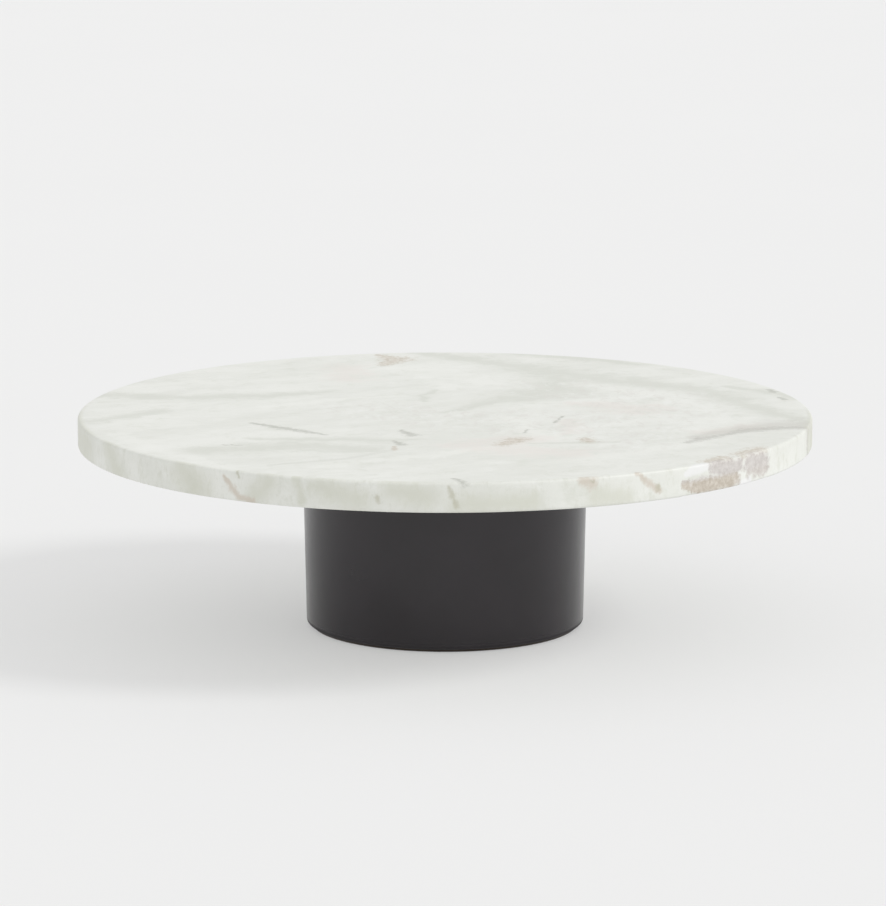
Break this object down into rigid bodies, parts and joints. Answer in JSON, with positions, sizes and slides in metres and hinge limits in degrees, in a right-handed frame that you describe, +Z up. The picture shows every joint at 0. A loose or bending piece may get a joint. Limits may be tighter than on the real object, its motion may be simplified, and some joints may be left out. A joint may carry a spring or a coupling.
{
  "type": "cake turntable",
  "caption": "Round marble cake turntable that spins on a ball ring in the mouth of a weighted black metal drum.",
  "frame": {"origin": "middle of the felt foot's underside, on the turning axis", "axes": "+Z up along the turning axis; +X and +Y are level and run from the axis through ring screws"},
  "size_m": [0.3, 0.3, 0.088],
  "materials": {
    "marble": "satin",
    "black_coating": "satin",
    "brown_felt": "matte",
    "ring_aluminium": "satin",
    "rivet_aluminium": "satin",
    "cage_nylon": "matte",
    "ball_steel": "polished",
    "black_rubber": "matte",
    "brass": "satin",
    "zinc_steel": "satin",
    "plate_steel": "satin",
    "cast_iron": "matte"
  },
  "bodies": {
    "base": {"bearing_inner_upper": "ring_aluminium", "bearing_inner_lower": "ring_aluminium", "inner_ring_rivets": "rivet_aluminium", "inner_ring_washers": "zinc_steel", "inner_ring_screws": "zinc_steel", "bearing_plate": "plate_steel", "tie_nut": "zinc_steel", "tie_bolt": "zinc_steel", "tie_spring_washer": "zinc_steel", "tie_washer": "zinc_steel", "spacer_tube": "plate_steel", "ballast_weight": "cast_iron", "drum_casting": "black_coating", "felt_foot": "brown_felt"},
    "cage": {"ball_cage": "cage_nylon", "bearing_balls": "ball_steel"},
    "turntable": {"marble_top": "marble", "stone_inserts": "brass", "ring_gasket": "black_rubber", "bearing_outer_ring": "ring_aluminium", "outer_ring_screws": "zinc_steel"}
  },
  "joints": [
    {"name": "turntable_spin", "type": "hinge", "parent": "base", "child": "turntable", "pos_m": [0, 0, 0.07019], "axis": [0, 0, 1], "continuous": true},
    {"name": "cage_orbit", "type": "hinge", "parent": "base", "child": "cage", "pos_m": [0, 0, 0.07019], "axis": [0, 0, 1], "continuous": true}
  ],
  "couplings": [
    {"joint": "cage_orbit", "follows": "turntable_spin", "ratio": 0.52219}
  ]
}
